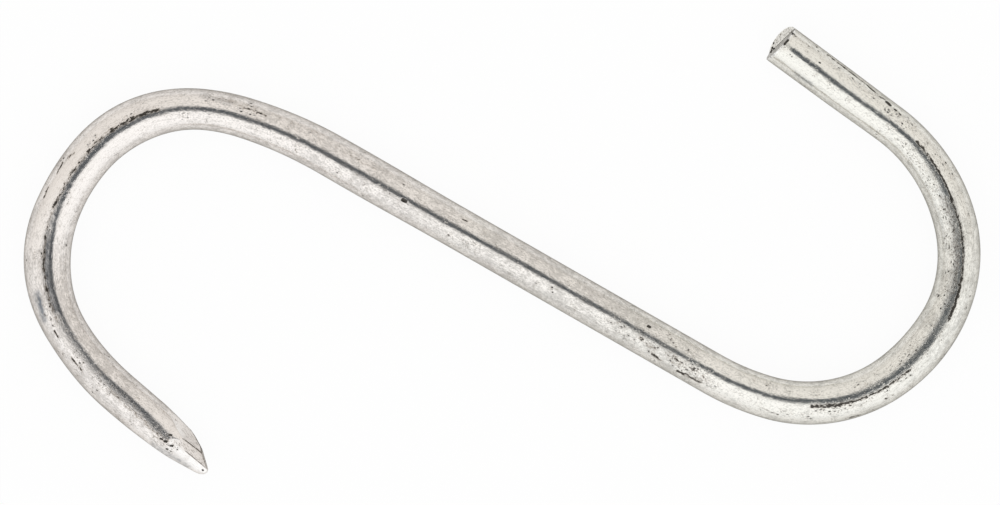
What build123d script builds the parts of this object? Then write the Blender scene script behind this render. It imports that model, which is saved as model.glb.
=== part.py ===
from build123d import *
import os
from math import cos, pi, radians, sin, tan

# A butcher's S hook bent from one round bar: a hook with a ground point at one end, a straight shank,
# and a hook with a sheared blunt end at the other. It lies flat: +X along its length towards the
# blunt-ended hook, +Z up through the bar's thickness. Millimetres and degrees throughout.

# Bar
BAR = 8.0                 # diameter of the round bar before bending
BEND_STEP = 4.0           # distance between the sections that a bend's skin runs through
RUN_ON = 1.0              # a bend's skin starts and ends this far along the straights beside it
FLAT_HALF_ANGLE = 40.0    # half the angle of the two flatter arcs of a pressed section

# Centreline, followed from the point's tip to the blunt end: each bend is a row of tangent arcs,
# as (radius, turn), because the bar was pulled round a former by hand
TIP = (-55.28, -41.48)    # where the centreline leaves the tip, which puts the origin mid-length
TIP_HEADING = 139.2       # direction from the tip into the bar, from +X
POINT_LEG = 22.4          # straight stretch that holds the ground point
POINT_BEND = [(48, 19), (25, 51.5), (38, 19), (25, 55.5), (38, 11.5), (82, 12.5)]
SHANK = 82.7
BLUNT_BEND = [(48, 14), (27, 51.5), (33, 23.5), (25.5, 45.5), (33, 39)]
BLUNT_LEG = 25.5          # straight stretch up to the middle of the sheared face
SPARE = 3.0               # extra bar beyond each end, for the point and the shear to cut

# Section along the bar, as (distance from the tip, width in the hook's plane, thickness).
# The press flattened the bar where it bent it most and drew it down where it pulled.
SECTIONS = [
    (0, 8.1, 7.8), (23, 8.1, 7.8), (35, 7.9, 7.9), (54, 8.9, 7.2), (68, 8.5, 7.5), (80, 8.6, 7.3),
    (100, 7.7, 7.7), (130, 8.2, 7.8), (150, 7.9, 7.9), (205, 7.9, 7.9), (232, 8.2, 7.7),
    (249, 8.4, 7.5), (262, 8.0, 7.9), (274, 8.1, 7.7), (297, 7.6, 7.6), (312, 7.9, 7.9),
]
MID_HEIGHT = 3.95         # half the greatest thickness, so the hook lies on Z = 0

# Ground point: each facet is a plane, as (roll of its normal about the bar from +Z towards the
# hook's outer side, slope to the bar's axis, distance from the axis at the tip)
UPPER_FACETS = [(2, 8.8, 2.38), (20, 22.7, 0.65), (-25, 21.9, 0.65), (-60, 11, 1.53)]
INNER_FACETS = [(-90, 4.3, 2.97), (-88, 20, 0.93), (-80, 30, 0.1)]
UNDER_FACETS = [(165, 20, 0.75), (-152, 21, 0.75), (-120, 14, 1.4)]
OUTER_FACETS = [(52, 15, 1.3), (90, 11.7, 1.62), (90, 5.6, 2.42), (128, 15, 1.3)]
RIDGE_RADIUS = 0.15       # the tin coating fills and softens the ridges between facets
NOSE_RADIUS = 1.0         # the tip is blunted to a small ball
NOSE_OFFSET = 0.55        # the ball sits this far to the hook's outer side of the axis
NOSE_CONE = 34.0          # half angle of the cone that runs out of the ball
POINT_REACH = 20.0        # the longest facet runs out on the bar before this distance from the tip

# Sheared end: the blade cut the upper part, and the rest tore off below it on a face that leans
# further out. Each face as (lean, roll of the lean about the bar from +Z towards the hook's outer
# side, where the face crosses the bar's axis past the end of the centreline)
CUT_FACE = (8.3, 45.0, -0.14)
TORN_FACE = (24.4, -14.0, -0.56)
DRAGGED_RADIUS = 0.25     # the blade rounded the bar's upper edge where it entered
SHEAR_REACH = 6.0         # no part of the shear reaches further back than this

# Blocks that the two ends are shaped with
STOCK = 1.5 * BAR         # side of the square stock that goes round the bar's ends
FAR = 5 * BAR             # reaches past everything at either end
CLEAR = 0.01              # two places closer than this are the same place


def heading_vector(heading):
    """Unit vector in the hook's plane at an angle from +X."""
    return Vector(cos(radians(heading)), sin(radians(heading)), 0)


def centreline():
    """The bar's centreline as one wire, from before the tip to past the blunt end."""
    heading = TIP_HEADING
    start = Vector(*TIP, MID_HEIGHT) - heading_vector(heading) * SPARE
    edges = [Line(start, start + heading_vector(heading) * (SPARE + POINT_LEG))]
    for bend, way, straight in ((POINT_BEND, -1, SHANK), (BLUNT_BEND, 1, BLUNT_LEG + SPARE)):
        for radius, turn in bend:
            edges.append(JernArc(edges[-1] @ 1, heading_vector(heading), radius, way * turn))
            heading += way * turn
        corner = edges[-1] @ 1
        edges.append(Line(corner, corner + heading_vector(heading) * straight))
    return Wire(edges)


def section_size(distance):
    """Width and thickness at a distance from the tip, eased from one listed section to the next."""
    for (start, *first), (end, *second) in zip(SECTIONS, SECTIONS[1:]):
        if distance <= end:
            share = (1 - cos(pi * max(0, distance - start) / (end - start))) / 2
            return [a + (b - a) * share for a, b in zip(first, second)]
    return SECTIONS[-1][1:]


def oval(width, thickness):
    """A bar section of four tangent arcs: two flatter ones above and below, and two round sides.
    It is a circle where the width equals the thickness."""
    angle = radians(FLAT_HALF_ANGLE)
    spread = (width - thickness) / (2 * (cos(angle) + sin(angle) - 1))
    side_radius = width / 2 - spread * sin(angle)
    x, y = (side_radius + spread) * sin(angle), side_radius * cos(angle)
    return make_face([
        ThreePointArc((-x, y), (0, thickness / 2), (x, y)),
        ThreePointArc((x, y), (width / 2, 0), (x, -y)),
        ThreePointArc((x, -y), (0, -thickness / 2), (-x, -y)),
        ThreePointArc((-x, -y), (-width / 2, 0), (-x, y)),
    ])


def section_at(route, distance):
    """The bar's section at a distance from the tip, square to the centreline."""
    share = (distance + SPARE) / route.length
    along = route % share
    plane = Plane(route @ share, x_dir=(-along.Y, along.X, 0), z_dir=along)
    return plane * oval(*section_size(distance))


def bar_stretch(route, start, end, count):
    """One stretch of the bar's skin: a loft through evenly spaced sections."""
    return loft([section_at(route, start + (end - start) * index / count) for index in range(count + 1)])


def bent_bar(route):
    """The whole bar with square ends. The straights are lofted between their two end sections, and
    each bend through a section every few millimetres."""
    straight_from = -SPARE
    bend_from = POINT_LEG - RUN_ON
    bar = Part()
    for bend, straight in ((POINT_BEND, SHANK), (BLUNT_BEND, BLUNT_LEG)):
        bend_length = sum(radius * radians(turn) for radius, turn in bend)
        bend_to = bend_from + bend_length + 2 * RUN_ON
        bar += bar_stretch(route, straight_from, bend_from, 1)
        bar += bar_stretch(route, bend_from, bend_to, round((bend_to - bend_from) / BEND_STEP))
        straight_from = bend_to
        bend_from = bend_to + straight - 2 * RUN_ON
    return bar + bar_stretch(route, straight_from, route.length - SPARE, 1)


def stock(start, end):
    """Square stock round the bar's axis, which is X, between two distances along it."""
    return Pos(X=start) * Box(end - start, STOCK, STOCK, align=(Align.MIN, Align.CENTER, Align.CENTER))


def behind(place, normal):
    """Everything on the inner side of a flat face."""
    block = Box(2 * FAR, 2 * FAR, FAR, align=(Align.CENTER, Align.CENTER, Align.MAX))
    return Plane(place, z_dir=normal) * block


def facet_block(roll, slope, offset):
    """Everything on the bar's side of one facet, in the point's own axes: X from the tip into the
    bar, Y to the hook's outer side, Z up."""
    away = Vector(0, sin(radians(roll)), cos(radians(roll)))
    normal = away * cos(radians(slope)) - Vector(sin(radians(slope)), 0, 0)
    return behind(away * offset, normal)


def ball_nosed_cone(length):
    """The cone that the tip runs out into, with its small ball in front, about the point's X."""
    cone, half_arc = radians(NOSE_CONE), radians(90 - NOSE_CONE) / 2
    middle = (NOSE_RADIUS * (1 - cos(half_arc)), NOSE_RADIUS * sin(half_arc))
    leave = (NOSE_RADIUS * (1 - sin(cone)), NOSE_RADIUS * cos(cone))
    far = (length, leave[1] + (length - leave[0]) * tan(cone))
    profile = make_face([
        ThreePointArc((0, 0), middle, leave), Line(leave, far),
        Line(far, (length, 0)), Line((length, 0), (0, 0)),
    ])
    return Pos(0, NOSE_OFFSET, 0) * revolve(profile, Axis.X)


def ground_point():
    """The point's envelope in its own axes: facets meeting in softened ridges, and the ball nose."""
    block = stock(-SPARE, POINT_REACH)
    for facet in UPPER_FACETS + INNER_FACETS + UNDER_FACETS + OUTER_FACETS:
        block &= facet_block(*facet)

    def is_ridge(edge):
        """Whether an edge lies between two facets, and not on the stock's own faces."""
        middle = edge @ 0.5
        return max(abs(middle.Y), abs(middle.Z)) < STOCK / 2 - CLEAR and middle.X < POINT_REACH - CLEAR

    ridges = [edge for edge in block.edges() if is_ridge(edge)]
    return fillet(ridges, RIDGE_RADIUS) & ball_nosed_cone(POINT_REACH)


def leaning_block(lean, roll, foot):
    """Everything behind one face of the sheared end, in the end's own axes: X out through the end,
    Y to the hook's inner side, Z up."""
    up = Vector(0, -sin(radians(roll)), cos(radians(roll)))
    return behind((foot, 0, 0), up * sin(radians(lean)) + Vector(cos(radians(lean)), 0, 0))


def sheared_end():
    """The blunt end's envelope in its own axes: the metal stands out to whichever face is further
    out, so the two meet in a crease."""
    return leaning_block(*CUT_FACE) + leaning_block(*TORN_FACE)


def with_dragged_edge(bar, at_end):
    """The bar with the edge between its side and the cut face rounded, where the blade entered."""
    lean, roll, foot = CUT_FACE

    def is_dragged(edge):
        """Whether an edge lies on the cut face and on the bar's side, above the tear."""
        places = [at_end.to_local_coords(edge @ share) for share in (0, 0.5, 1)]
        height = [p.Z * cos(radians(roll)) - p.Y * sin(radians(roll)) for p in places]
        on_face = all(abs(p.X + tan(radians(lean)) * h - foot) < CLEAR for p, h in zip(places, height))
        return on_face and edge.geom_type != GeomType.LINE

    return fillet([edge for edge in bar.edges() if is_dragged(edge)], DRAGGED_RADIUS)


def s_hook():
    """The whole hook: the bent bar with one end ground to a point and the other sheared off."""
    route = centreline()
    bar = bent_bar(route)
    at_tip = Plane((*TIP, MID_HEIGHT), x_dir=heading_vector(TIP_HEADING))
    along = route % 1
    at_end = Plane(route @ 1 - along * SPARE, x_dir=along)
    bar -= at_tip * (stock(-2 * SPARE, POINT_REACH - CLEAR) - ground_point())
    bar -= at_end * (stock(-SHEAR_REACH, 2 * SPARE) - sheared_end())
    return with_dragged_edge(bar, at_end)


if __name__ == "__main__":
    os.makedirs("parts", exist_ok=True)
    hook = s_hook()
    export_step(hook, "parts/s_hook.step")
    print("volume", round(hook.volume), "mm3, size", hook.bounding_box().size)
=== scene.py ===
from math import cos, pi, radians, sin, tan

import bpy
import numpy as np
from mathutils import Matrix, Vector


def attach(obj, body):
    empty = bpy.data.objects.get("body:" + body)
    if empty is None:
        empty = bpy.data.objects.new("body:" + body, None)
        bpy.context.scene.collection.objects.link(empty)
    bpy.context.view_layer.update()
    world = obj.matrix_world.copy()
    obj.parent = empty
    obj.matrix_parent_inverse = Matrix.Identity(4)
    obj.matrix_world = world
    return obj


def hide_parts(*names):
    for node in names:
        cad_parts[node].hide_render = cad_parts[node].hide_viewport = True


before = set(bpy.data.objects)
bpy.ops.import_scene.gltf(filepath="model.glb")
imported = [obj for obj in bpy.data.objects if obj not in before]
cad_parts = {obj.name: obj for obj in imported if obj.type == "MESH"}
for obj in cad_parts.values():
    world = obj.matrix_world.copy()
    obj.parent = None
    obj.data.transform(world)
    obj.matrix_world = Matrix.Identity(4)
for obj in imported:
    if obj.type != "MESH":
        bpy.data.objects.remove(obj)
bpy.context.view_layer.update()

# A butcher's S hook of tinned steel bar, lying flat: +X along its length, +Z up. Lengths are in
# millimetres, and go into Blender in metres.
MM = 0.001
NODE = "s_hook"

# Centreline, from the point's tip to the blunt end: tangent arcs as (radius, turn in degrees)
TIP = (-55.28, -41.48)
TIP_HEADING = 139.2
POINT_LEG = 22.4
POINT_BEND = [(48, 19), (25, 51.5), (38, 19), (25, 55.5), (38, 11.5), (82, 12.5)]
SHANK = 82.7
BLUNT_BEND = [(48, 14), (27, 51.5), (33, 23.5), (25.5, 45.5), (33, 39)]
BLUNT_LEG = 25.5
MID_HEIGHT = 3.95

# Section: distance from the tip, width in the hook's plane, thickness
FLAT_HALF_ANGLE = radians(40)
SECTIONS = [
    (0, 8.1, 7.8), (23, 8.1, 7.8), (35, 7.9, 7.9), (54, 8.9, 7.2), (68, 8.5, 7.5), (80, 8.6, 7.3),
    (100, 7.7, 7.7), (130, 8.2, 7.8), (150, 7.9, 7.9), (205, 7.9, 7.9), (232, 8.2, 7.7),
    (249, 8.4, 7.5), (262, 8.0, 7.9), (274, 8.1, 7.7), (297, 7.6, 7.6), (312, 7.9, 7.9),
]

# How the rollers and the former left the bar: distance from the tip, how far its upper left and lower
# right quarters stand out, which twists the section, and the depth of the flats along its top and
# underside. Left is to the left of travel from the tip to the blunt end.
PRESSED = [
    (0, 0.2, 0.07), (10, 0.2, 0.08), (19, -0.06, 0.09), (34, -0.08, 0.09), (42, -0.095, 0.13),
    (54, -0.095, 0.12), (64, -0.05, 0.03), (100, -0.04, 0.01), (110, -0.12, 0.01), (150, -0.08, 0.0),
    (165, 0.04, 0.0), (200, 0.04, 0.0), (210, 0.12, 0.0), (224, 0.12, 0.02), (232, -0.10, 0.05),
    (248, -0.09, 0.06), (256, -0.04, 0.09), (270, -0.04, 0.10), (282, -0.03, 0.05), (298, -0.05, 0.02),
    (310, 0.02, 0.02), (318, -0.09, 0.0), (324, -0.15, 0.0),
]
PRESSED_WIDTH = 0.27      # half width of those flats, as the sine of the angle from the top

# Ground point: roll of each flat about the bar from +Z towards the hook's outer side, its slope to
# the axis, and its distance from the axis at the tip
CRISP_FLATS = [
    (2, 8.8, 2.38), (20, 22.7, 0.65), (-25, 21.9, 0.65), (-60, 11, 1.53), (-90, 4.3, 2.97),
    (-88, 20, 0.93), (-80, 30, 0.1), (165, 20, 0.75), (-152, 21, 0.75), (-120, 14, 1.4),
]
SOFT_FLATS = [(52, 15, 1.3), (90, 11.7, 1.62), (90, 5.6, 2.42), (128, 15, 1.3)]
CRISP_RIDGE = 0.012       # softness of the meetings between crisp flats
SOFT_RIDGE = 0.07         # softness of the meetings between soft flats
SOFT_SHOULDER = 0.15      # softness where soft flats meet crisp ones and the bar
RIDGE_WIDTH = 0.11        # how close the two nearest surfaces are beside a ridge
GROUND_FADE = 0.08        # metal taken off where the ground look is full
LEAST_FACING = 0.05       # a flat stops only rays that meet it more squarely than this cosine
FAR_OFF = 99.0            # where it is put for the others
NOSE_RADIUS = 1.0
NOSE_OFFSET = 0.55        # from the bar's axis to the hook's outer side
NOSE_CONE = radians(34)
POINT_REACH = 20.0

# Inner flats, which keep the marks of the wheel and are painted in shade: how far they reach from the
# tip and to the left, and over what length their look fades out before that
INNER_REACH = 9.0
INNER_REACH_FADE = 2.0
INNER_LEFT = 0.25
INNER_LEFT_FADE = 0.3

# Ridges beside the inner flats are keen to the right of this line. To its left they are keen up to
# this distance from the tip, and faint past it.
KEEN_LEFT = -1.3
KEEN_REACH = 6.4
FAINT_RIDGE = 0.25

# Sheared end: the face that the blade cut and the face that tore off below it, each as (lean, roll
# of the lean from +Z towards the hook's outer side, where it crosses the bar's axis). The blade also
# dragged the bar's top down beside it.
CUT_FACE = (radians(8.3), radians(45), -0.14)
TORN_FACE = (radians(24.4), radians(-14), -0.56)
CREASE_SOFTNESS = 0.04
CREASE_WIDTH = 0.07
CUT_MARK = 0.5            # the mesh holds this on the cut face, 1 on the torn face and 0 on the bar
DRAGGED_RADIUS = 0.25     # round edge beside the cut face
TORN_RADIUS = 0.07        # round edge beside the torn face
EDGE_BLEND = 0.25         # how soft the change is from one to the other
DRAG_SLOPE = 0.15
DRAG_EASE = 0.4           # distance over which the drag gets its slope
DRAG_LENGTH = 2.0
DRAG_WIDTH = 0.55         # as the sine of the angle from the top
WORN_EDGE = 0.2           # the cut face's look starts this far before its edge
END_REACH = 8.0           # the rings are fitted to the end over this length

# Grid: rings along the bar and points round it, closer together on top, near the tip and at the end
AROUND = 92
TOP_CROWDING = 0.42
NOSE_RINGS = 10
NOSE_FIRST = 0.06         # angle round the nose's ball of its first ring, in radians
NOSE_LAST = radians(52)
TIP_STEP = 0.12
FINE_REACH = 13.0         # the tip's fine steps end here
BAR_STEP = 0.36
END_STEP = 0.16
END_CROWDING = 1.5
EDGE_RINGS = 5
CAP_RINGS = 30
CAP_CROWDING = 1.3

# How clean the tin was left along the bar, from dull at 0 to bright at 1; part of this is a painted
# sheen, which lightens the tin's colour by stretches
POLISH_AND_PAINTED_SHEEN = [
    (0, 0.9), (12, 0.6), (20, 0.1), (46, 0.0), (64, 1.0), (90, 0.75), (112, 0.3), (135, 0.1),
    (195, 0.0), (212, 0.75), (240, 0.7), (256, 0.1), (270, 0.1), (288, 0.65), (305, 1.0), (323, 1.0),
]

# Painted shade down the bar's sides: there the tin is given less of that polish, (height / radius -
# side)
# / fade of it, but no less than the dullest share, so its colour is darker where the bar turns away
# from the top
SIDE_SHADE_FROM = 0.45
SIDE_SHADE_FADE = 0.25
SIDE_SHADE_LEAST = 0.2

# Marks on the upper side: for each of a mark's two ends, the distance from the tip and the
# millimetres to the left of travel, and then its half width and strength. Nicks and pits come first.
NICKS = [
    (0.8, 0.7, 0.9, 0.7, 0.19, 1.3), (8.1, 0.8, 8.4, 1.0, 0.22, 1.3), (9.5, 0.9, 9.8, 1.1, 0.24, 1.3),
    (10.4, 1.1, 10.7, 1.2, 0.2, 1.2), (8.4, 1.9, 8.6, 2.0, 0.2, 1.1), (9.6, -0.6, 9.9, -0.4, 0.22, 1.1),
    (107.3, 1.5, 107.6, 1.9, 0.16, 0.9), (139.1, -0.5, 139.6, -0.5, 0.33, 1.6),
    (140.2, -0.9, 140.3, -0.9, 0.16, 1.0), (172.0, -1.6, 172.1, -1.6, 0.2, 1.0),
    (190.8, 1.8, 191.3, 1.8, 0.22, 1.4), (300.0, -2.75, 300.9, -2.85, 0.23, 1.5),
    (298.5, -2.6, 299.0, -2.65, 0.17, 1.2), (297.4, -2.45, 297.7, -2.5, 0.15, 1.1),
    (315.3, -1.3, 315.5, -1.3, 0.17, 1.2), (322.8, -0.2, 322.75, -1.2, 0.19, 1.9),
    (321.9, -2.7, 323.1, -2.9, 0.1, 1.0), (322.7, -2.7, 322.8, -2.6, 0.16, 1.1),
    (324.5, 0.4, 324.4, 0.6, 0.18, 1.0), (323.8, 1.2, 323.9, 1.5, 0.18, 1.0),
    (324.2, 1.3, 324.1, 1.5, 0.2, 1.0), (324.0, 1.9, 323.9, 2.3, 0.18, 1.0),
]
HOLLOWED_ABOVE = 0.8      # a nick that is stronger than this is hollowed into the bar
HOLLOW_DEPTH = 0.16       # for each unit of strength above that
FACE_HEIGHT = 8.0         # added to heights on the sheared end, so that all of it can show nicks

# Ragged streaks where the tin missed the steel
STREAKS = [
    (8, 0.6, 12, 1.0, 1.0, 0.30), (13, 0.8, 24, 0.6, 0.5, 0.35), (30, 1.8, 33, 1.9, 0.2, 0.75),
    (37.5, 1.8, 38.7, 1.8, 0.2, 0.8), (40, 0.4, 48, 0.4, 0.4, 0.45), (46, 0.4, 56, 0.45, 0.3, 0.62),
    (55, 0.5, 63, 0.5, 0.35, 0.45), (61.5, 0.55, 64, 0.55, 0.35, 0.7), (62, 0.5, 76, 0.55, 0.45, 0.48),
    (74, 0.55, 79, 0.6, 0.45, 0.60), (79, 0.6, 89, 0.5, 0.45, 0.72), (62.5, 3.1, 65, 3.2, 0.16, 0.8),
    (67.4, 3.0, 69.5, 3.2, 0.16, 0.8), (70.5, 2.9, 72.2, 2.5, 0.16, 0.8),
    (98, 2.8, 108, 2.0, 0.7, 0.22), (104.3, 1.8, 109.2, 1.7, 0.25, 0.6), (110, 2.2, 120, 2.4, 0.6, 0.2),
    (116.3, -1.6, 117.3, -3.0, 0.16, 0.6), (123, 1.7, 132, 1.9, 0.4, 0.25),
    (150.2, 1.8, 151.6, 2.1, 0.2, 0.6), (190.5, -1.0, 194, -1.2, 0.65, 0.42),
    (194.1, -2.4, 196.0, -2.6, 0.3, 0.75), (194.9, 2.6, 197.1, 1.1, 0.15, 0.6),
    (197.1, 1.1, 197.9, 0.6, 0.15, 0.6), (199.8, -2.8, 204.7, -2.5, 0.3, 0.7),
    (197, -1.0, 206, -1.6, 0.9, 0.38), (216.5, -2.1, 219.6, -2.7, 0.18, 0.6),
    (225.5, -0.55, 233, -0.9, 0.45, 0.78), (232, -0.9, 245, -0.95, 0.35, 0.68),
    (231, -3.7, 233.5, -3.7, 0.25, 0.5), (238.5, -2.9, 240, -2.9, 0.2, 0.6),
    (245, -0.9, 256, -0.8, 0.2, 0.30), (256.5, -0.8, 262.5, -0.6, 0.4, 0.85),
    (262, -0.6, 280, -0.35, 0.38, 0.68), (262, 0.5, 280, 0.9, 1.0, 0.38),
    (279, -0.45, 292, -0.7, 0.32, 0.78), (297.2, -2.4, 298.1, -2.6, 0.2, 0.6),
    (300.1, -2.8, 305.5, -3.2, 0.22, 0.6), (305, -3.2, 315, -3.5, 0.15, 0.8),
    (315, -2.9, 322.6, -2.6, 0.4, 0.26), (318, -2.2, 321, -1.8, 0.4, 0.3),
]

# Patches of fine pits
PITTED = [
    (8, 0.8, 12, 0.8, 1.4, 1.0), (13, 0.5, 40, 0.5, 1.5, 0.8), (43, 0.8, 90, 1.2, 0.9, 0.7),
    (100, 1.7, 122, 1.9, 1.1, 0.8), (150, -1.8, 170, -2, 1.0, 0.5), (185, -1.0, 206, -2.0, 1.5, 1.0),
    (225, -1.0, 246, -1.4, 1.1, 0.9), (235, 1.6, 292, 1.6, 1.6, 0.9), (262, 0.8, 280, 0.8, 1.0, 1.1),
    (275, -2.0, 300, -2.2, 1.2, 0.8), (295, -2, 318, -3, 1.0, 0.8), (308, 1.2, 316, 1.6, 1.0, 0.3),
]

# Dark bluish smudges: partly dull smudges of thicker tin, partly a painted reflection of the dark
# opening overhead beside the dark band
SMUDGES_AND_PAINTED_REFLECTION = [
    (3.5, 1.95, 11, 3.2, 0.75, 0.46), (12, -0.5, 24, -0.7, 0.6, 0.45),
    (41.2, 2.7, 45.7, 2.3, 0.85, 0.65), (42.6, 2.45, 44.9, 2.15, 0.5, 0.95),
    (42, -0.1, 55, -0.2, 0.9, 0.62), (97, 2.6, 102, 1.8, 0.8, 0.35), (314, 2.9, 318, 2.9, 0.4, 0.6),
    (150, -2.8, 190, -3.0, 0.6, 0.2), (270, 2.8, 290, 3.0, 0.6, 0.25), (258, 0.8, 282, 1.0, 1.0, 0.42),
]

# Camera: it looks straight down, and the photograph's frame is this wide at the bar's mid height
FRAME_WIDTH = 188.5
FRAME_CENTRE = (-0.39, -0.45)
CAMERA_DISTANCE = 1200.0
CAMERA_SIGHT = 20000.0    # nothing further off is drawn
SENSOR = 36.0


def eased(distance, rows):
    """Values of a list of (distance, value, ...) rows at each distance: between two rows they follow
    half a cosine wave, a + (b - a)(1 - cos(pi t)) / 2."""
    rows = np.array(rows, float)
    flat = distance.ravel()
    index = np.clip(np.searchsorted(rows[:, 0], flat) - 1, 0, len(rows) - 2)
    low, high = rows[index], rows[index + 1]
    share = np.clip((flat - low[:, 0]) / (high[:, 0] - low[:, 0]), 0, 1)
    share = (1 - np.cos(pi * share)) / 2
    values = (low + (high - low) * share[:, None])[:, 1:].T
    return values.reshape(-1, *distance.shape)


def stretches():
    """The centreline as rows of (start distance, x, y, heading, curvature), left turns positive."""
    place, heading, distance = np.array(TIP), radians(TIP_HEADING), 0.0
    rows = []
    runs = [(POINT_LEG, 0.0)]
    runs += [(r * radians(turn), -1 / r) for r, turn in POINT_BEND]
    runs += [(SHANK, 0.0)]
    runs += [(r * radians(turn), 1 / r) for r, turn in BLUNT_BEND]
    runs += [(BLUNT_LEG, 0.0)]
    for length, curvature in runs:
        rows.append((distance, *place, heading, curvature))
        chord = length * np.sinc(curvature * length / 2 / pi)
        middle = heading + curvature * length / 2
        place = place + chord * np.array([cos(middle), sin(middle)])
        heading += curvature * length
        distance += length
    return np.array(rows), distance


STRETCHES, LENGTH = stretches()


def centreline(distance):
    """Point and heading of the centreline: along an arc of curvature k from heading h, a length d
    ends at the chord d sinc(k d / 2) in the direction h + k d / 2."""
    index = np.searchsorted(STRETCHES[:, 0], distance, "right") - 1
    start, x, y, heading, curvature = STRETCHES[np.clip(index, 0, None)].T
    length = distance - start
    chord = length * np.sinc(curvature * length / 2 / pi)
    middle = heading + curvature * length / 2
    return x + chord * np.cos(middle), y + chord * np.sin(middle), heading + curvature * length


def oval_radius(angle, width, thickness):
    """Distance from the bar's axis to its pressed section in each direction, measured from +Z. The
    section is four tangent arcs, and a ray from the axis meets an arc of radius q about c at
    d.c + sqrt(q^2 - |c|^2 + (d.c)^2)."""
    spread = (width - thickness) / (2 * (cos(FLAT_HALF_ANGLE) + sin(FLAT_HALF_ANGLE) - 1))
    side = width / 2 - spread * sin(FLAT_HALF_ANGLE)
    flat = side + spread
    join = np.arctan2(flat * sin(FLAT_HALF_ANGLE), side * cos(FLAT_HALF_ANGLE))
    across, up = np.abs(np.sin(angle)), np.abs(np.cos(angle))
    on_side = across * (width / 2 - side)
    on_flat = up * (thickness / 2 - flat)
    by_side = on_side + np.sqrt(side ** 2 - (width / 2 - side) ** 2 + on_side ** 2)
    by_flat = on_flat + np.sqrt(flat ** 2 - (thickness / 2 - flat) ** 2 + on_flat ** 2)
    return np.where(np.arctan2(across, up) < join, by_flat, by_side)


def bar_radius(distance, angle):
    """The section with what the rollers and the former did to it: its oval, plus twist sin(2 a), less
    depth exp(-(sin(a) / width)^2) on its top and underside."""
    width, thickness = eased(distance, SECTIONS)
    twist, depth = eased(distance, PRESSED)
    pressed = depth * np.exp(-(np.sin(angle) / PRESSED_WIDTH) ** 2)
    return oval_radius(angle, width, thickness) + twist * np.sin(2 * angle) - pressed


def soft_least(values, softness):
    """The least of several surfaces with rounded meetings: -k ln(sum(exp(-v / k)))."""
    least = np.min(values, axis=0)
    return least - softness * np.log(np.sum(np.exp(-(values - least) / softness), axis=0))


def nose_radius_at(distance):
    """Radius of the ball-nosed cone: sqrt(x (2 r - x)) on the ball, then a straight cone."""
    leave = NOSE_RADIUS * (1 - sin(NOSE_CONE))
    ball = np.sqrt(np.clip(distance * (2 * NOSE_RADIUS - distance), 0, None))
    cone = NOSE_RADIUS * cos(NOSE_CONE) + (distance - leave) * tan(NOSE_CONE)
    return np.where(distance < leave, ball, cone)


def flats_at(distance, angle, centre, flats):
    """Distance from a ring's centre, which has moved by c to the outer side, to each flat of the
    point: (offset + x tan(slope) - c sin(roll)) / cos(a - roll)."""
    surfaces = []
    for roll, slope, offset in flats:
        facing = np.cos(angle - radians(roll))
        height = offset + distance * tan(radians(slope)) - centre * sin(radians(roll))
        reach = height / np.maximum(facing, LEAST_FACING)
        surfaces.append(np.where(facing > LEAST_FACING, reach, FAR_OFF))
    return np.array(surfaces)


def point_section(distance, angle, bar):
    """Over the ground point: how far the ring's centre moves to the outer side, its radius, how near
    each place is to a crisp ridge, and whether it is ground. The centre moves by
    offset (1 - x / reach)^2. A ray from it meets the nose's circle, whose own centre is s to the
    right, at sqrt(r^2 - (s cos(a))^2) - s sin(a). A ridge is where the two nearest surfaces meet,
    exp(-(gap / width)^2)."""
    centre = NOSE_OFFSET * (1 - np.clip(distance / POINT_REACH, 0, 1)) ** 2
    round_bar = bar - centre * np.sin(angle)
    side_step = centre - NOSE_OFFSET
    reach = nose_radius_at(distance) ** 2 - (side_step * np.cos(angle)) ** 2
    nose = np.sqrt(np.clip(reach, 0, None)) - side_step * np.sin(angle)

    crisp = flats_at(distance, angle, centre, CRISP_FLATS)
    soft = flats_at(distance, angle, centre, SOFT_FLATS)
    crisp, soft = np.concatenate([[round_bar], crisp]), np.concatenate([soft, [nose]])
    nearest, second = np.partition(crisp, 1, axis=0)[:2]
    ridge = np.exp(-((second - nearest) / RIDGE_WIDTH) ** 2)
    joined = np.array([soft_least(crisp, CRISP_RIDGE), soft_least(soft, SOFT_RIDGE)])
    ground = np.clip((round_bar - joined.min(0)) / GROUND_FADE, 0, 1)
    return centre, soft_least(joined, SOFT_SHOULDER), ridge, ground


def sheared_faces(left, up):
    """How far the cut and the torn face stand past the centreline's end: foot - tan(lean) h, where h
    is the height rolled about the bar."""
    stand = []
    for lean, roll, foot in (CUT_FACE, TORN_FACE):
        height = up * cos(roll) - left * sin(roll)
        stand.append(foot - tan(lean) * height)
    return np.array(stand)


def sheared_end(left, up):
    """The end's own surface, which is the further out of its two faces, softened where they meet."""
    return -soft_least(-sheared_faces(left, up), CREASE_SOFTNESS)


def cut_share(left, up, blend):
    """1 on the cut face, 0 on the torn one, and 1 / (1 + exp(-difference / blend)) between them."""
    cut, torn = sheared_faces(left, up)
    return 1 / (1 + np.exp(-(cut - torn) / blend))


def dragged(before_end, angle):
    """How far the blade pulled the bar's top down by the end: slope t^2 / (t + ease), where t is how
    far past the start of the drag a place is, fading with exp(-(sin(a) / width)^2) to the sides."""
    past = np.clip(DRAG_LENGTH - before_end, 0, None)
    top = np.exp(-(np.sin(angle) / DRAG_WIDTH) ** 2) * (np.cos(angle) > 0)
    return DRAG_SLOPE * past ** 2 / (past + DRAG_EASE) * top


def near_marks(distance, left, height, marks):
    """How near each place above a height of 0 is to the marks of a list: the greatest of strength
    exp(-(d / w)^2), where d is the distance to the line between a mark's two ends."""
    nearest = np.zeros_like(distance)
    for start, start_left, end, end_left, half_width, strength in marks:
        run, rise = end - start, end_left - start_left
        share = ((distance - start) * run + (left - start_left) * rise) / (run ** 2 + rise ** 2)
        share = np.clip(share, 0, 1)
        off = np.hypot(distance - start - share * run, left - start_left - share * rise)
        nearest = np.maximum(nearest, strength * np.exp(-(off / half_width) ** 2))
    return np.where(height > 0, nearest, 0.0)


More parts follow.
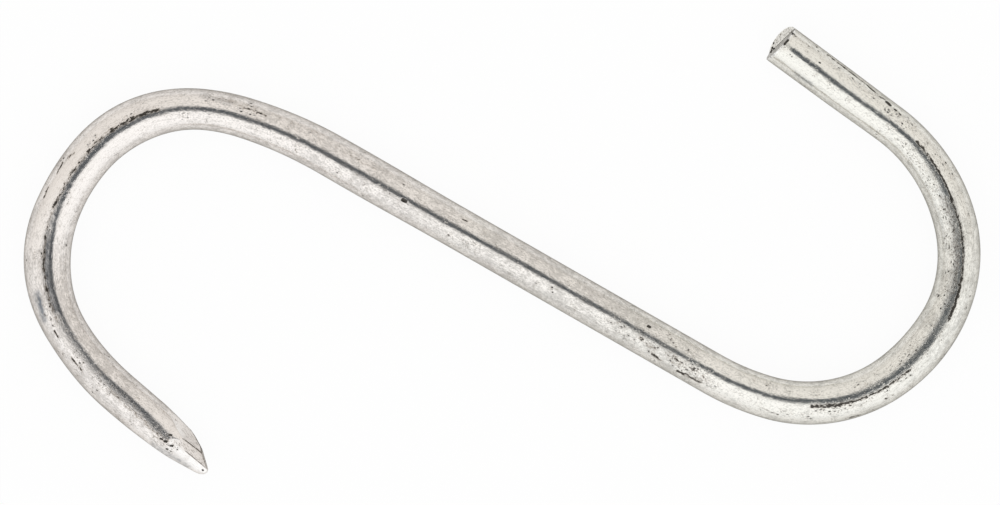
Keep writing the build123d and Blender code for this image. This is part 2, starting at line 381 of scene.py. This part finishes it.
def ring_angles():
    """Angles round the bar from its top towards the left of travel: t - c sin(t)."""
    turn = np.arange(AROUND) * 2 * pi / AROUND
    return turn - TOP_CROWDING * np.sin(turn)


def ring_distances():
    """Distances of the rings from the tip: r (1 - cos(t)) at even angles t round the nose's ball, and
    then even steps."""
    ball = NOSE_RADIUS * (1 - np.cos(np.linspace(NOSE_FIRST, NOSE_LAST, NOSE_RINGS)))
    point = np.arange(ball[-1] + TIP_STEP, FINE_REACH, TIP_STEP)
    bar = np.arange(point[-1] + BAR_STEP, LENGTH - END_REACH, BAR_STEP)
    return np.concatenate([ball, point, bar])


def end_rings(start, angle):
    """Rings of (distance, radius, how much of the end they are) from the last even ring to the middle
    of the sheared end: along the dragged top, round a quarter circle, and across the face. They
    crowd towards the edge, as 1 - (1 - t)^c before it and as t^c after it. The edge belongs to the
    end beside the cut face, and by sin(turn)^4 beside the torn one."""
    rim = bar_radius(np.full(AROUND, LENGTH), angle)
    cut = cut_share(rim * np.sin(angle), rim * np.cos(angle), EDGE_BLEND)
    edge = TORN_RADIUS + (DRAGGED_RADIUS - TORN_RADIUS) * cut
    inner = rim - dragged(0.0, angle) - edge
    finish = LENGTH + sheared_end(inner * np.sin(angle), inner * np.cos(angle)) - edge

    share = np.linspace(0, 1, round(END_REACH / END_STEP) + 1)[1:, None]
    along = start + (finish - start) * (1 - (1 - share) ** END_CROWDING)
    side = bar_radius(along, np.broadcast_to(angle, along.shape)) - dragged(finish - along, angle)
    worn = np.clip(1 - (finish - along) / WORN_EDGE, 0, 1) * cut

    turn = np.linspace(0, pi / 2, EDGE_RINGS + 1)[1:, None]
    round_edge = finish + edge * np.sin(turn), inner + edge * np.cos(turn)
    rounding = np.maximum(cut, np.sin(turn) ** 4)

    share = np.arange(1, CAP_RINGS)[:, None] / CAP_RINGS
    across = inner * (1 - share ** CAP_CROWDING)
    face = LENGTH + sheared_end(across * np.sin(angle), across * np.cos(angle))

    distance = np.concatenate([along, round_edge[0], face])
    radius = np.concatenate([side, round_edge[1], across])
    on_end = np.concatenate([worn, rounding, np.ones_like(face)])
    return distance, radius, on_end


def hook_surface():
    """The hook's skin as rings of points in straightened coordinates (distance, left of travel, up),
    with three triples for each point. Worn is how near it is to a nick, to a streak and to a smudge,
    which is partly dull tin and partly a painted reflection of the dark opening overhead. Worked is
    how near it is to a ridge or crease, whether it is ground, and which face of the sheared end it is
    on. Tin is how polished it is, with a painted sheen along the bar and painted shade down its sides,
    whether it is in a pitted patch, and whether it is on the point's inner flats."""
    angle = ring_angles()
    distance, turn = np.meshgrid(ring_distances(), angle, indexing="ij")
    radius = bar_radius(distance, turn)
    centre, ground_radius, ridge, ground = point_section(distance, turn, radius)
    on_point = distance < POINT_REACH
    radius = np.where(on_point, ground_radius, radius)
    centre, ridge, ground = [np.where(on_point, part, 0.0) for part in (centre, ridge, ground)]

    end_distance, end_radius, on_end = end_rings(distance[-1, 0], angle)
    nothing, no_end = np.zeros_like(end_distance), np.zeros_like(distance)
    distance = np.concatenate([distance, end_distance])
    turn = np.broadcast_to(angle, distance.shape)
    radius = np.concatenate([radius, end_radius])
    centre, ridge, ground = [np.concatenate([part, nothing]) for part in (centre, ridge, ground)]
    on_end = np.concatenate([no_end, on_end])

    left, up = centre + radius * np.sin(turn), radius * np.cos(turn)
    nicks = near_marks(distance, left, up + FACE_HEIGHT * on_end, NICKS)
    streaks = near_marks(distance, left, up, STREAKS) * (1 - on_end)
    # smudges, partly a painted reflection of the dark opening overhead
    smudge_and_reflection = near_marks(distance, left, up, SMUDGES_AND_PAINTED_REFLECTION)
    pitted = near_marks(distance, left, up, PITTED)
    # polish along the bar, with a painted sheen and painted shade down the bar's sides
    polish_sheen_and_side_shade = eased(distance, POLISH_AND_PAINTED_SHEEN)[0] * np.clip((up / radius - SIDE_SHADE_FROM) / SIDE_SHADE_FADE, SIDE_SHADE_LEAST, 1)
    inner = ground * np.clip((INNER_LEFT - left) / INNER_LEFT_FADE, 0, 1)
    inner = inner * np.clip((INNER_REACH - distance) / INNER_REACH_FADE, 0, 1)
    keen = np.where(left > KEEN_LEFT, np.clip(KEEN_REACH - distance, FAINT_RIDGE, 1), 1.0)
    radius = radius - HOLLOW_DEPTH * np.clip(nicks - HOLLOWED_ABOVE, 0, None) * (1 - on_end)
    left, up = centre + radius * np.sin(turn), radius * np.cos(turn)

    cut, torn = sheared_faces(left, up)
    crease = np.exp(-((cut - torn) / CREASE_WIDTH) ** 2) * on_end
    sheared = on_end * (1 - (1 - CUT_MARK) * cut_share(left, up, CREASE_SOFTNESS))
    return {
        "bar_mm": np.stack([distance, left, up], -1),
        "worn": np.stack([nicks, streaks, smudge_and_reflection], -1),
        "worked": np.stack([np.maximum(ridge * inner * keen, crease), ground, sheared], -1),
        "tin": np.stack([polish_sheen_and_side_shade, pitted, inner], -1),
    }


def placed(straight):
    """Points of the straightened bar put on the bent one: the centreline's point, plus left along
    its left-hand normal, plus up."""
    distance, left, up = straight.T
    x, y, heading = centreline(distance)
    return np.stack([x - left * np.sin(heading), y + left * np.cos(heading), MID_HEIGHT + up], -1)


def hook_mesh():
    """One closed mesh, with its faces outwards: quads between neighbouring rings, and at each end a
    fan of triangles about a cap point, which is the point's tip or the middle of the sheared end."""
    surface = hook_surface()
    end_middle = LENGTH + float(sheared_end(np.zeros(1), np.zeros(1))[0])
    caps = {
        "bar_mm": [(0, NOSE_OFFSET, 0), (end_middle, 0, 0)],
        "worn": [(0, 0, 0), (0, 0, 0)],
        "worked": [(0, 1, 0), (0, 0, CUT_MARK)],
        "tin": [(1, 0, 0), (0, 0, 0)],
    }
    points = {name: np.concatenate([surface[name].reshape(-1, 3), caps[name]]) for name in caps}

    last_ring = (len(surface["bar_mm"]) - 1) * AROUND
    tip = np.full(AROUND, last_ring + AROUND)
    step = np.arange(AROUND)
    after = (step + 1) % AROUND
    low = np.arange(0, last_ring, AROUND)[:, None]
    high = low + AROUND
    quads = np.stack([low + step, high + step, high + after, low + after], -1).reshape(-1, 4)
    tip_fan = np.stack([tip, step, after], -1)
    end_fan = np.stack([last_ring + after, last_ring + step, tip + 1], -1)

    mesh = bpy.data.meshes.new("hook_bar")
    faces = quads.tolist() + tip_fan.tolist() + end_fan.tolist()
    mesh.from_pydata((placed(points["bar_mm"]) * MM).tolist(), [], faces)
    mesh.polygons.foreach_set("use_smooth", np.ones(len(faces), bool))
    for name, values in points.items():
        attribute = mesh.attributes.new(name, "FLOAT_VECTOR", "POINT")
        attribute.data.foreach_set("vector", values.astype(np.float32).ravel())
    mesh.update()
    return mesh


class Value:
    """One output of a shader node. Sums, differences and products of values add their Math nodes. A
    value of a tree alone, with no socket, is where the tree's first nodes are made from."""

    def __init__(self, tree, socket=None):
        self.tree = tree
        self.socket = socket

    def node(self, kind, settings, sockets, output=0):
        """A new node's output: its settings are set first, then its sockets get values or links."""
        made = self.tree.nodes.new(kind)
        for name, setting in settings.items():
            setattr(made, name, setting)
        for name, given in sockets.items():
            if isinstance(given, Value):
                self.tree.links.new(given.socket, made.inputs[name])
            else:
                made.inputs[name].default_value = given
        return Value(self.tree, made.outputs[output])

    def math(self, operation, *others):
        """A Math node of this value and up to two more."""
        return self.node("ShaderNodeMath", {"operation": operation}, dict(enumerate((self, *others))))

    def __add__(self, other):
        return self.math("ADD", other)

    def __sub__(self, other):
        return self.math("SUBTRACT", other)

    def __rsub__(self, other):
        return (self * -1) + other

    def __mul__(self, other):
        return self.math("MULTIPLY", other)

    __radd__ = __add__
    __rmul__ = __mul__


def smooth(value, low, high, start=0.0, end=1.0):
    """start below low, end above high, and a smooth step between them."""
    sockets = {"Value": value, "From Min": low, "From Max": high, "To Min": start, "To Max": end}
    return value.node("ShaderNodeMapRange", {"interpolation_type": "SMOOTHSTEP"}, sockets)


def mixed(share, first, second):
    """A colour between two, by a share of the second. A Mix node has its colours in sockets 6 and 7,
    and gives its colour as output 2."""
    return share.node("ShaderNodeMix", {"data_type": "RGBA"}, {0: share, 6: first, 7: second}, 2)


def layered(tone, layer, where):
    """A tone with a layer over it, which is a colour and the most of it that shows anywhere."""
    colour, most = layer
    return mixed(where * most, tone, colour)


def part_of(vector, axis):
    """One of a vector's three numbers."""
    return vector.node("ShaderNodeSeparateXYZ", {}, {"Vector": vector}, axis)


def stored(start, name):
    """A vector that the mesh holds for each of its points."""
    return start.node("ShaderNodeAttribute", {"attribute_name": name}, {}, "Vector")


def drawn_out(place, share):
    """A place whose distance along the bar counts for only a share of itself, which draws out a
    pattern on it."""
    return place.node("ShaderNodeVectorMath", {"operation": "MULTIPLY"}, {0: place, 1: (share, 1, 1)})


def noise(place, pattern):
    """A pattern of fractal noise, from 0 to 1."""
    share, scale, detail, roughness = pattern
    place = drawn_out(place, share)
    sockets = {"Vector": place, "Scale": scale, "Detail": detail, "Roughness": roughness}
    return place.node("ShaderNodeTexNoise", {}, sockets)


def specks(place, pattern, grain):
    """Ragged specks, one in each cell of a pattern: 1 at a speck's middle and 0 past its size, which
    the grain makes uneven."""
    share, scale, size = pattern
    place = drawn_out(place, share)
    near = place.node("ShaderNodeTexVoronoi", {}, {"Vector": place, "Scale": scale})
    return smooth(near + (grain - 0.5) * 0.7, size * 0.5, size, 1.0, 0.0)


def frayed(near, ragged, strength, full):
    """How near a mark each place is, with the mark's edge broken up by a ragged pattern, which has
    its full strength where the mark is nearer than full."""
    return near + (ragged - 0.5) * strength * smooth(near, 0.02, full)


# Patterns in the metal: the share of itself that distance along the bar counts for, then the
# noise's scale, detail and roughness
LINES = (0.03, 3.2, 3.0, 0.65)
MOTTLE = (0.6, 1.6, 6.0, 0.72)
PATCHES = (1.0, 0.3, 4.0, 0.6)
RAGGED = (0.5, 2.4, 4.0, 0.7)
GRAIN = (0.45, 5.5, 2.0, 0.6)
GRINDING = (0.10, 4.0, 3.0, 0.6)
WANDER = (1.0, 0.12, 2.0, 0.5)
WAVES = (1.0, 0.45, 2.0, 0.5)
PITTING = (1.0, 0.45, 3.0, 0.6)
WINDING = (0.7, 1.5, 4.0, 0.6)

# Pits in cells: the same share, then the cells' scale and the pits' size
PITS = (0.6, 1.5, 0.27)
FINE_PITS = (0.7, 3.4, 0.28)

# Tin, bright and dull: warm near the point, and turning grey further along the bar
WARM_TIN = (0.90, 0.855, 0.817, 1)
WARM_DULL = (0.65, 0.615, 0.585, 1)
GREY_TIN = (0.875, 0.86, 0.80, 1)
GREY_DULL = (0.62, 0.61, 0.565, 1)
GREY_FROM = 130           # distance from the tip where it starts to turn
GREY_BY = 290             # and where it has turned
GREY_WANDER = 60          # the most that a noise brings both nearer to the tip

# Layers over the tin: a colour, and the most of it that shows anywhere
DRAWN_LINES = (0.42, 0.39, 0.36, 1), 0.45
SPECKLES = (0.36, 0.34, 0.31, 1), 0.65
# Painted highlight: a near-white colour on the top of the point's outer flats, fading down their sides
GROUND_PAINTED_HIGHLIGHT = (0.95, 0.925, 0.90, 1), 1.0
# Painted shade: a darker colour over the point's inner flats
GROUND_PAINTED_SHADE = (0.68, 0.63, 0.59, 1), 0.38
GROUND_LINES = (0.34, 0.31, 0.28, 1), 1.0
RIDGE_LINE = (0.11, 0.095, 0.08, 1), 0.95
# Dark bluish colour of the smudges, partly a painted reflection of the dark opening overhead
SMUDGE_AND_REFLECTION_PAINT = (0.12, 0.14, 0.165, 1), 0.9
RUST_STAIN = (0.33, 0.27, 0.21, 1), 0.6
BARE_STEEL = (0.04, 0.036, 0.031, 1), 0.95
CREASE_LINE = (0.04, 0.036, 0.031, 1), 0.9

# Steel of the sheared end, bright and dark
CUT_STEEL = (0.97, 0.96, 0.93, 1)
CUT_DARK = (0.55, 0.54, 0.52, 1)
TORN_STEEL = (0.98, 0.965, 0.92, 1)
TORN_DARK = (0.42, 0.40, 0.36, 1)

BRIGHT_ROUGHNESS = 0.09
BUMP_DEPTH = 0.1          # how far into the bar a pattern of 1 goes
EDGE_TINT = (0.5, 0.49, 0.47, 1)


def cracks_and_pits(place, pitted, grain):
    """Hair cracks and two sizes of pit, thickest in the pitted patches. A crack is where a winding
    noise is close to its middle value."""
    where = noise(place, PITTING) + pitted * 0.16
    winding = (noise(place, WINDING) - 0.5).math("ABSOLUTE")
    cracks = smooth(winding, 0.003, 0.016, 1.0, 0.0) * smooth(where, 0.52, 0.64)
    pits = specks(place, PITS, grain) * smooth(where, 0.60, 0.66)
    fine = specks(place, FINE_PITS, grain) * smooth(where, 0.54, 0.68) * 0.8
    return cracks, pits.math("MAXIMUM", fine)


def sheared_tone(torn, ridge, ragged, mottle):
    """The sheared end's colour: rubbed where the blade cut, grained where the bar tore, and dark along
    the crease between them."""
    cut_face = mixed(smooth(ragged, 0.42, 0.60), CUT_STEEL, CUT_DARK)
    torn_face = mixed(smooth(ragged * 0.6 + mottle * 0.4, 0.50, 0.58), TORN_STEEL, TORN_DARK)
    crease = smooth(ridge + (ragged - 0.5) * 1.5, 0.25, 0.8)
    return layered(mixed(torn, cut_face, torn_face), CREASE_LINE, crease)


def tinned_steel():
    """Hot-dip tinned steel: bright metal with drawing lines, dull patches, smudges and dark pits, a
    ground point, and a sheared end. Its colour also holds painted light: a painted sheen along the bar,
    painted shade down its sides, a painted reflection of the dark opening in some smudges, a painted
    highlight on the point's outer flats and painted shade on its inner ones. The numbers in its
    expressions are levels and weights of patterns that run from 0 to 1."""
    material = bpy.data.materials.new("tinned_steel")
    material.use_nodes = True
    tree = material.node_tree
    shader = tree.nodes["Principled BSDF"]
    start = Value(tree)
    place, worn, worked, tin = [stored(start, name) for name in ("bar_mm", "worn", "worked", "tin")]
    nick, streak, smudged_and_reflected = [part_of(worn, axis) for axis in "XYZ"]
    ridge, ground, sheared = [part_of(worked, axis) for axis in "XYZ"]
    polish_sheen_and_side_shade, pitted, inner = [part_of(tin, axis) for axis in "XYZ"]
    on_end, torn = smooth(sheared, 0.1, 0.4), smooth(sheared, 0.6, 0.9)
    patterns = LINES, MOTTLE, PATCHES, RAGGED, GRAIN, GRINDING
    lines, mottle, patches, ragged, grain, grinding = [noise(place, pattern) for pattern in patterns]

    # Bright and dull tin, where the painted sheen along the bar makes it brighter and the painted shade
    # down its sides makes it duller
    grey = smooth(part_of(place, "X") + noise(place, WANDER) * GREY_WANDER, GREY_FROM, GREY_BY)
    keen = polish_sheen_and_side_shade.math("MAXIMUM", ground * 0.9)
    dull = smooth(mottle * 0.65 + patches * 0.35 - keen * 0.13, 0.40, 0.58)
    tone = mixed(dull, mixed(grey, WARM_TIN, GREY_TIN), mixed(grey, WARM_DULL, GREY_DULL))
    tone = layered(tone, DRAWN_LINES, smooth(lines, 0.54, 0.74) * (1 - keen * 0.5))
    tone = layered(tone, SPECKLES, smooth(grain, 0.50, 0.68) * (1 - keen * 0.5))

    # The ground point: a painted highlight on the top of its outer flats, painted shade on its inner
    # flats, grinding lines, and dark lines along its ridges
    tone = layered(tone, GROUND_PAINTED_HIGHLIGHT, (ground - inner) * polish_sheen_and_side_shade)
    tone = layered(tone, GROUND_PAINTED_SHADE, inner)
    tone = layered(tone, GROUND_LINES, smooth(grinding, 0.50, 0.64) * (ground * 0.2 + inner * 0.5))
    tone = layered(tone, RIDGE_LINE, smooth(ridge, 0.3, 0.8) * smooth(ragged, 0.30, 0.44))

    # Smudges, partly a painted reflection of the dark opening overhead, then streaks, cracks and pits
    tone = layered(tone, SMUDGE_AND_REFLECTION_PAINT, smooth(frayed(smudged_and_reflected, ragged, 1.1, 0.3), 0.05, 1.05))
    streaked = frayed(streak, ragged, 2.2, 0.2)
    tone = layered(tone, RUST_STAIN, smooth(streaked, 0.15, 0.60) * (1 - grey * 0.5))
    cracks, pits = cracks_and_pits(place, pitted, grain)
    tone = layered(tone, RUST_STAIN, cracks)
    dark = smooth(streaked, 0.48, 0.62).math("MAXIMUM", pits) * (1 - on_end)

    # The sheared end, and the nicks, which are on it too
    tone = mixed(on_end, tone, sheared_tone(torn, ridge, ragged, mottle))
    dark = dark.math("MAXIMUM", smooth(frayed(nick, ragged, 1.1, 0.2), 0.45, 0.60))
    tone = layered(tone, BARE_STEEL, dark)

    roughness = dull * 0.08 + lines * 0.05 + dark * 0.15 + pitted * 0.06 + BRIGHT_ROUGHNESS
    roughness = roughness + on_end * 0.2 + torn * 0.12
    depth = lines * 0.10 + mottle * 0.20 + ragged * 0.10 + noise(place, WAVES) * 0.7 + dark * 0.5
    depth = depth + ground * grinding * 0.15 + pitted * grain * 0.3 + torn * ragged * 1.2
    sockets = {"Strength": 1.0, "Distance": BUMP_DEPTH * MM, "Height": depth}
    bump = start.node("ShaderNodeBump", {"invert": True}, sockets)
    for name, value in (("Base Color", tone), ("Roughness", roughness), ("Normal", bump)):
        tree.links.new(value.socket, shader.inputs[name])
    shader.inputs["Metallic"].default_value = 1.0
    shader.inputs["Specular Tint"].default_value = EDGE_TINT
    return material


# Floor, and how much of its plain white shows to the lens and in the metal
FLOOR_HALF = 3000.0
FLOOR_PAPER = (0.96, 0.96, 0.96, 1)
WHITE = (1, 1, 1, 1)
WHITE_TO_LENS = 0.93
WHITE_IN_METAL = 0.32


def seen_by_lens_and_metal(start):
    """How much of the plain white shows: most of it to the lens and through clear material, and less
    of it in the metal, so that the metal shows the floor's shade near the bar."""
    camera = start.node("ShaderNodeLightPath", {}, {}, "Is Camera Ray") * WHITE_TO_LENS
    glossy = start.node("ShaderNodeLightPath", {}, {}, "Is Glossy Ray") * WHITE_IN_METAL
    through = start.node("ShaderNodeLightPath", {}, {}, "Is Transmission Ray") * WHITE_TO_LENS
    return camera.math("MAXIMUM", glossy).math("MAXIMUM", through)


def studio_floor():
    """A pale floor: what the lens and the metal see of it is nearly white, and a share of its lit
    surface keeps the object's shadow."""
    half = FLOOR_HALF * MM
    mesh = bpy.data.meshes.new("floor")
    corners = [(-half, -half, 0), (half, -half, 0), (half, half, 0), (-half, half, 0)]
    mesh.from_pydata(corners, [], [(0, 1, 2, 3)])
    floor = bpy.data.objects.new("floor", mesh)
    bpy.context.scene.collection.objects.link(floor)
    material = bpy.data.materials.new("floor")
    material.use_nodes = True
    tree = material.node_tree
    tree.nodes.remove(tree.nodes["Principled BSDF"])
    start = Value(tree)
    lit = start.node("ShaderNodeBsdfDiffuse", {}, {"Color": FLOOR_PAPER})
    plain = start.node("ShaderNodeEmission", {}, {"Color": WHITE})
    mix = start.node("ShaderNodeMixShader", {}, {0: seen_by_lens_and_metal(start), 1: lit, 2: plain})
    tree.links.new(mix.socket, tree.nodes["Material Output"].inputs["Surface"])
    mesh.materials.append(material)


# Light tent: a dark opening overhead for the lens, and cloth that is brighter on the -Y side and
# falls off towards the table
OPENING_TOWARDS = (0.0, 0.06, 1.0)
OPENING_HALF_ANGLE = 12.5
OPENING_EDGE = 8.0        # degrees, over which the opening's edge is soft
OPENING_COLOUR = (0.09, 0.102, 0.115, 1)
NEAR_CLOTH = (1.12, 1.13, 1.14, 1)
FAR_CLOTH = (0.905, 0.885, 0.86, 1)
CLOTH_TURN = 0.45         # sine of the angle to either side by which the cloth has changed
LOW_CLOTH = 0.86          # the cloth's level at the table
LOW_UNTIL = 0.6           # sine of the angle above the table where it is full


def light_tent():
    """A white tent of cloth round the table, as the colour of the world in each direction."""
    world = bpy.data.worlds.new("light_tent")
    bpy.context.scene.world = world
    world.use_nodes = True
    tree = world.node_tree
    start = Value(tree)
    direction = start.node("ShaderNodeTexCoord", {}, {}, "Generated")

    def towards(axis):
        """Cosine of the angle between the direction and an axis."""
        settings, sockets = {"operation": "DOT_PRODUCT"}, {0: direction, 1: axis}
        return start.node("ShaderNodeVectorMath", settings, sockets, "Value")

    wide, narrow = OPENING_HALF_ANGLE + OPENING_EDGE / 2, OPENING_HALF_ANGLE - OPENING_EDGE / 2
    overhead = towards(Vector(OPENING_TOWARDS).normalized())
    opening = smooth(overhead, cos(radians(wide)), cos(radians(narrow)))
    cloth = mixed(smooth(towards((0, -1, 0)), -CLOTH_TURN, CLOTH_TURN), FAR_CLOTH, NEAR_CLOTH)
    level = smooth(towards((0, 0, 1)), 0.0, LOW_UNTIL, LOW_CLOTH, 1.0)
    cloth = cloth.node("ShaderNodeVectorMath", {"operation": "SCALE"}, {0: cloth, "Scale": level})
    lit = mixed(opening, cloth, OPENING_COLOUR)
    camera = start.node("ShaderNodeLightPath", {}, {}, "Is Camera Ray")
    tree.links.new(mixed(camera, lit, WHITE).socket, tree.nodes["Background"].inputs["Color"])


def photo_camera():
    """A long lens straight above the hook, whose frame is the photograph's at the bar's mid height."""
    data = bpy.data.cameras.new("camera")
    data.sensor_width = SENSOR
    data.lens = SENSOR * CAMERA_DISTANCE / FRAME_WIDTH
    data.clip_end = CAMERA_SIGHT * MM
    camera = bpy.data.objects.new("camera", data)
    camera.location = Vector((*FRAME_CENTRE, MID_HEIGHT + CAMERA_DISTANCE)) * MM
    bpy.context.scene.collection.objects.link(camera)
    bpy.context.scene.camera = camera


hook = bpy.data.objects.new("hook_bar", hook_mesh())
hook.data.materials.append(tinned_steel())
bpy.context.scene.collection.objects.link(hook)
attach(hook, "root")
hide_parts(NODE)

studio_floor()
light_tent()
photo_camera()
bpy.context.scene.view_settings.view_transform = "Standard"
